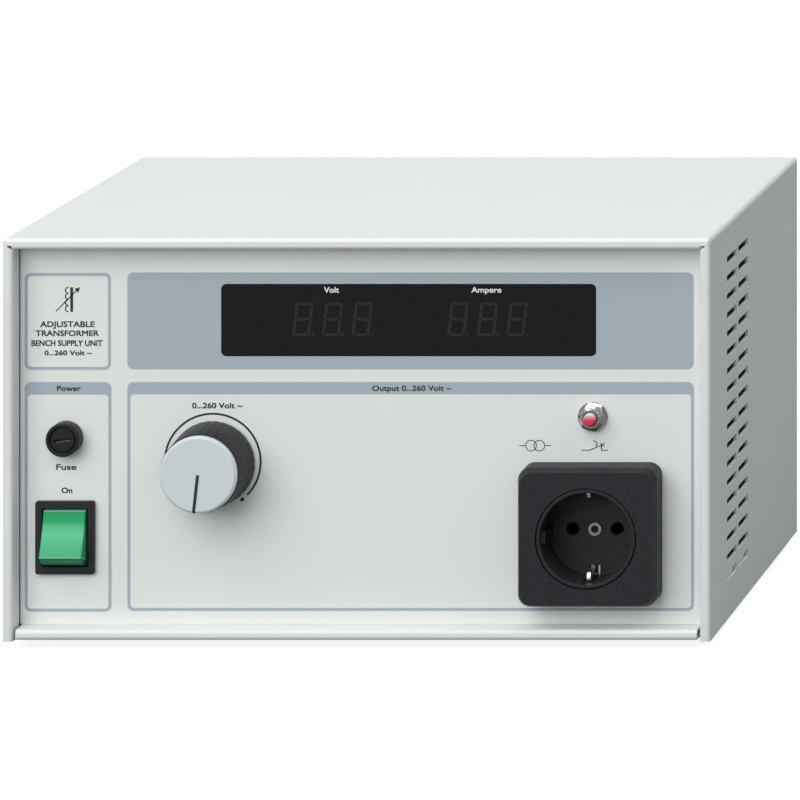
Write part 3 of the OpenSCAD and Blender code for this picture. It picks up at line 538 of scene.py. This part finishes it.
# Dark words, each with its middle and base line on the panel, the capitals' height and the width, in mm.
DARK_WORDS = (
    ("ADJUSTABLE", -125.15, 130.65, 2.5, 23.2),
    ("TRANSFORMER", -125.3, 126.83, 2.45, 26.9),
    ("BENCH SUPPLY UNIT", -125.5, 122.6, 2.5, 30.2),
    ("0...260 Volt ~", -124.9, 118.65, 2.1, 20.2),
    ("Power", -124.7, 103.45, 2.3, 10.2),
    ("Fuse", -125.8, 69.95, 2.45, 8.6),
    ("On", -125.4, 60.05, 2.4, 4.6),
    ("Output 0...260 Volt ~", 21.2, 103.5, 2.35, 33.8),
    ("0...260 Volt ~", -61.5, 96.1, 2.4, 21.4),
)
# Sign of a breaker with a thermal trip: each stroke's width and points, in mm from the sign's left end.
BREAKER_STROKES = (
    (0.36, (0, 0), (3.3, 0), (9.3, 2.6)),
    (0.36, (8.4, 2.4), (8.4, 0), (11, 0)),
    (0.3, (8.0, 1.5), (9.6, 3.1)),
    (0.3, (8.0, 3.1), (9.6, 1.5)),
    (0.34, (6.3, 1.3), (6.0, 2.3), (6.7, 2.7), (6.3, 3.3), (5.4, 3.8), (5.0, 4.3)),
)


def draw_winding_sign(p, x, z):
    """A core bar, four turns of a winding and an arrow across them: an adjustable transformer."""
    def at(points):
        return [(x + dx * MM, z + dz * MM) for dx, dz in points]

    p.area(at(((1.4, -5.2), (2.6, -5.2), (2.6, 5.2), (1.4, 5.2))))
    for k in range(4):
        p.area(arc_band(x + 0.6 * MM, z + (3.9 - 2.6 * k) * MM, 1.5 * MM, 1.0 * MM, 180, 360, 16))
    p.line(at(((-4.6, -4.9), (4.4, 4.1))), 0.45 * MM)
    p.area(at(((5.6, 5.3), (3.2, 4.5), (4.8, 2.9))))


def draw_knob_scale(p, x, z):
    """An arc round the knob from the zero stop, and a dot past its end."""
    p.area(arc_band(x, z, 20.8 * MM, 19.94 * MM, ZERO_ANGLE, 360 + 134))
    dot_x, dot_z = arc_points(x, z, 20.4 * MM, 142, 142, 1)[0]
    p.area(ring(dot_x, dot_z, 0.85 * MM, 24))


def draw_transformer_sign(p, x, z):
    """Two linked rings with leads."""
    for side in (-1, 1):
        ring_x = x + side * 1.75 * MM
        p.area(ring(ring_x, z, 2.42 * MM), ring(ring_x, z, 2.08 * MM))
        p.line([(x + side * 4.1 * MM, z), (x + side * 6.7 * MM, z)], 0.34 * MM)


def make_dark_print():
    p = Print("print_dark", FACE_Y)
    draw_winding_sign(p, *panel(-125.4, 142.4))
    for words, x, z, cap, width in DARK_WORDS:
        p.text(words, *panel(x, z), cap * MM, width * MM)
    draw_knob_scale(p, *panel(-63.42, 73.45))
    draw_transformer_sign(p, *panel(73.7, 80.3))
    x, z = panel(93.5, 78.3)
    for width, *points in BREAKER_STROKES:
        p.line([(x + dx * MM, z + dz * MM) for dx, dz in points], width * MM)
    p.done(INK_DARK)


def draw_digit(p, x0, z0):
    """An unlit seven-segment figure with its point, from its lower left corner on the panel in mm."""
    h, w, s = 14.3, 7.6, 1.2
    slant = math.tan(math.radians(6.5))

    def segment(ax, az, bx, bz):
        corners = ((ax, az), (bx, az), (bx, bz), (ax, bz))
        p.area([panel(x0 + dx + dz * slant, z0 + dz) for dx, dz in corners])

    for z in (0, h / 2 - s / 2, h - s):
        segment(s * 0.9, z, w - s * 0.9, z + s)
    for x in (0, w - s):
        segment(x, 0.4, x + s, h / 2 - 0.25)
        segment(x, h / 2 + 0.25, x + s, h - 0.4)
    p.area(ring(*panel(x0 + w + 1.2, z0 + 0.6), 0.6 * MM, 20))


def make_window_print():
    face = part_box("display_window")[0].y
    words_print = Print("print_white", face)
    for words, x, width in (("Volt", -12.9, 6.4), ("Ampere", 53.0, 12.8)):
        words_print.text(words, *panel(x, 145.3), 2.4 * MM, width * MM, 0.07 * MM)
    words_print.done(INK_WHITE)
    # The figures show faintly through the smoked window.
    digits = Print("unlit_digits", face, 0.02 * MM)
    for block_x in (-29.7, 36.2):
        for k in range(3):
            draw_digit(digits, block_x + 12.6 * k, 126.9)
    digits.done(DIGIT_GREY, "case")


make_blue_print()
make_dark_print()
make_window_print()

# ---------------------------------------------------------------- knob pointer


def make_pointer():
    """An inlaid line from the cap's middle to its edge, running over the chamfer."""
    lo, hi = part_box("knob_cap")
    front = lo.y - PRINT_LIFT
    r = (hi.x - lo.x) / 2
    outside = r + 0.03 * MM
    half_width = 0.66 * MM
    path = ((0.0, front), (r - 1.0 * MM, front),
            (outside, front + 0.86 * MM), (outside, front + 2.0 * MM))
    bm = bmesh.new()
    rows = [[bm.verts.new((side * half_width, y, distance)) for side in (-1, 1)] for distance, y in path]
    for a, b in zip(rows, rows[1:]):
        bm.faces.new((a[0], a[1], b[1], b[0]))
    bmesh.ops.recalc_face_normals(bm, faces=bm.faces)
    mesh = bpy.data.meshes.new("knob_pointer")
    bm.to_mesh(mesh)
    bm.free()
    turn = Matrix.Rotation(math.radians(ZERO_ANGLE), 4, "Y")
    mesh.transform(Matrix.Translation((KNOB.x, 0, KNOB.z)) @ turn)
    o = put("knob_pointer", mesh, POINTER, "rotor")
    solid = o.modifiers.new("solid", "SOLIDIFY")
    solid.thickness = 0.08 * MM
    solid.offset = 0


make_pointer()

# ---------------------------------------------------------------- rocker


# The rocker's radius about its pivot, and how far its face and back planes lie from the pivot.
ROCKER_R, ROCKER_REACH, ROCKER_BACK = 12.1 * MM, 7.0 * MM, 4.0 * MM
ROCKER_DISH = 0.72 * MM
ROCKER_HALF_W = 9.0 * MM
ROCKER_TILT = -19.5
FACE_STEPS, END_STEPS = 12, 8


def rocker_outline():
    """Points (y, z) round the rocker's side: the dished face, then the two ends on an arc."""
    r, reach, back = ROCKER_R, ROCKER_REACH, ROCKER_BACK
    edge = math.sqrt(r * r - reach * reach)
    outline = []
    for k in range(FACE_STEPS + 1):
        t = -1 + 2 * k / FACE_STEPS
        outline.append((-(reach - ROCKER_DISH * (1 - t * t)), edge * t))
    a0, a1 = math.atan2(edge, -reach), math.atan2(math.sqrt(r * r - back * back), back)
    turns = [a0 + (a1 - a0) * k / END_STEPS for k in range(1, END_STEPS + 1)]
    outline += [(r * math.cos(a), r * math.sin(a)) for a in turns]
    outline += [(r * math.cos(a), -r * math.sin(a)) for a in reversed(turns)]
    return outline


def rocker_green():
    """Green plastic whose upper half lies in shade, with pale glints on the face's two ends."""
    m = Shader("rocker_green", (0.05, 0.5, 0.25), 0.4).set(Specular_IOR_Level=0.25)
    m.ramp(2, -ROCKER_R, ROCKER_R, (
        (0.0, srgb(0, 118, 78)), (0.06, srgb(0, 138, 90)), (0.084, srgb(0, 118, 76)),
        (0.092, srgb(140, 196, 172)), (0.102, srgb(140, 196, 172)), (0.112, srgb(52, 168, 114)),
        (0.30, srgb(64, 178, 124)), (0.50, srgb(90, 192, 144)), (0.62, srgb(74, 184, 132)),
        (0.72, srgb(0, 160, 98)), (0.885, srgb(0, 150, 88)), (0.895, srgb(100, 160, 138)),
        (0.91, srgb(100, 160, 138)), (1.0, srgb(0, 100, 64))))
    m.uneven(m.noise(0.6), 0.05)
    m.bump(m.noise(0.8, 2), 0.01)
    return m.mat


def make_rocker():
    """The lens of the rocker: dished face, ends on an arc about the pivot, all edges slightly round."""
    outline = rocker_outline()
    bm = bmesh.new()
    sides = [[bm.verts.new((s * ROCKER_HALF_W, y, z)) for y, z in outline] for s in (-1, 1)]
    bm.faces.new(sides[0])
    bm.faces.new(list(reversed(sides[1])))
    for k in range(len(outline)):
        n = (k + 1) % len(outline)
        bm.faces.new((sides[0][k], sides[1][k], sides[1][n], sides[0][n]))
    bmesh.ops.recalc_face_normals(bm, faces=bm.faces)
    for f in bm.faces:
        f.smooth = True
    mesh = bpy.data.meshes.new("rocker_lens")
    bm.to_mesh(mesh)
    bm.free()
    mesh.materials.append(rocker_green())
    o = link(bpy.data.objects.new("rocker_lens", mesh))
    o.location = (centre("power_rocker").x, FACE_Y + 1.25 * MM, centre("switch_housing").z)
    o.rotation_euler = (math.radians(ROCKER_TILT), 0, 0)
    round_edges(o, 0.45 * MM, 4)
    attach(o, "rocker")
    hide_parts("power_rocker")


make_rocker()

# ---------------------------------------------------------------- small marks of painted shade and painted highlight


def disc_piece(name, at, r, thick, material, body):
    bm = bmesh.new()
    bmesh.ops.create_cone(bm, cap_ends=True, segments=40, radius1=r, radius2=r, depth=thick)
    mesh = bpy.data.meshes.new(name)
    bm.to_mesh(mesh)
    bm.free()
    mesh.transform(Matrix.Translation(at) @ Matrix.Rotation(math.radians(90), 4, "X"))
    return put(name, mesh, material, body)


def bar_piece(name, at, size, turn, material, body):
    bm = bmesh.new()
    bmesh.ops.create_cube(bm, size=1.0)
    mesh = bpy.data.meshes.new(name)
    bm.to_mesh(mesh)
    bm.free()
    turned = Matrix.Rotation(math.radians(turn), 4, "Y") @ Matrix.Diagonal((*size, 1))
    mesh.transform(Matrix.Translation(at) @ turned)
    return put(name, mesh, material, body)


# The slot in the fuse cap rises to the right by this many degrees.
FUSE_SLOT_RISE = 8


def make_small_marks():
    """A near-black disc as painted shade in the recess of the outlet's screw, and a pale bar as a
    painted highlight on the lower edge of the slot in the fuse cap.
    """
    screw, screw_front = centre("socket_screw"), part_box("socket_screw")[0].y
    disc_piece("screw_recess_shade", (screw.x, screw_front + 0.9 * MM, screw.z), 1.58 * MM, 0.2 * MM,
               RECESS_SHADE, "case")
    fuse, fuse_front = centre("fuse_cap"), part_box("fuse_cap")[0].y
    rise = math.radians(FUSE_SLOT_RISE)
    down = Vector((math.sin(rise), 0, -math.cos(rise))) * 0.52 * MM
    along = Vector((math.cos(rise), 0, math.sin(rise))) * 0.5 * MM
    bar_piece("fuse_slot_highlight", Vector((fuse.x, fuse_front + 0.1 * MM, fuse.z)) + down + along,
              (6.0 * MM, 0.24 * MM, 0.42 * MM), -FUSE_SLOT_RISE,
              SLOT_HIGHLIGHT, "carrier_cap")


make_small_marks()

# ---------------------------------------------------------------- stage and light


def camera_only(tree, seen, unseen):
    """A mix that shows one shader to the camera and the other to bounced light."""
    path = tree.nodes.new("ShaderNodeLightPath")
    mix = tree.nodes.new("ShaderNodeMixShader")
    tree.links.new(path.outputs["Is Camera Ray"], mix.inputs[0])
    tree.links.new(unseen.outputs[0], mix.inputs[1])
    tree.links.new(seen.outputs[0], mix.inputs[2])
    return mix


def make_floor():
    """A white floor that glows to the camera, keeps a faint shadow and throws little light back."""
    half = 40.0
    corners = [(-half, -half, 0), (half, -half, 0), (half, half, 0), (-half, half, 0)]
    mesh = bpy.data.meshes.new("floor")
    mesh.from_pydata(corners, [], [(0, 1, 2, 3)])
    floor = link(bpy.data.objects.new("floor", mesh))
    mat = bpy.data.materials.new("floor")
    mat.use_nodes = True
    tree = mat.node_tree
    tree.nodes.remove(tree.nodes["Principled BSDF"])
    seen = tree.nodes.new("ShaderNodeAddShader")
    glow = tree.nodes.new("ShaderNodeEmission")
    glow.inputs["Color"].default_value = (0.86, 0.86, 0.86, 1)
    lit, unseen = (tree.nodes.new("ShaderNodeBsdfDiffuse") for _ in range(2))
    lit.inputs["Color"].default_value = (0.4, 0.4, 0.4, 1)
    unseen.inputs["Color"].default_value = (0.22, 0.22, 0.22, 1)
    tree.links.new(glow.outputs[0], seen.inputs[0])
    tree.links.new(lit.outputs[0], seen.inputs[1])
    mix = camera_only(tree, seen, unseen)
    tree.links.new(mix.outputs[0], tree.nodes["Material Output"].inputs["Surface"])
    mesh.materials.append(mat)


def make_world():
    """White behind the part, and an even grey for its fill light and reflections."""
    world = bpy.data.worlds.new("studio")
    bpy.context.scene.world = world
    world.use_nodes = True
    tree = world.node_tree
    tree.nodes.remove(tree.nodes["Background"])
    seen, unseen = (tree.nodes.new("ShaderNodeBackground") for _ in range(2))
    seen.inputs["Color"].default_value = (1, 1, 1, 1)
    unseen.inputs["Color"].default_value = (0.40, 0.42, 0.42, 1)
    mix = camera_only(tree, seen, unseen)
    tree.links.new(mix.outputs[0], tree.nodes["World Output"].inputs["Surface"])


def soft_box(name, place, aim, size, watts, color=(1, 1, 1)):
    """A large square light at a place, turned towards the point it aims at."""
    data = bpy.data.lights.new(name, "AREA")
    data.shape = "RECTANGLE"
    data.size, data.size_y = size
    data.energy = watts
    data.color = color
    lamp = link(bpy.data.objects.new(name, data))
    lamp.location = place
    lamp.rotation_euler = (Vector(aim) - Vector(place)).to_track_quat("-Z", "Y").to_euler()


make_floor()
make_world()
soft_box("key_box", (-1.0, -2.3, 1.9), (0, 0, 0.09), (3.2, 3.2), 88)
soft_box("top_box", (0.1, 0.75, 2.6), (0, 0.05, 0.17), (1.8, 1.6), 16)
soft_box("side_box", (1.9, -0.4, 2.1), (0.1, 0, 0.09), (1.6, 1.6), 12.5, (0.88, 1.0, 1.0))
bpy.context.scene.view_settings.view_transform = "Standard"
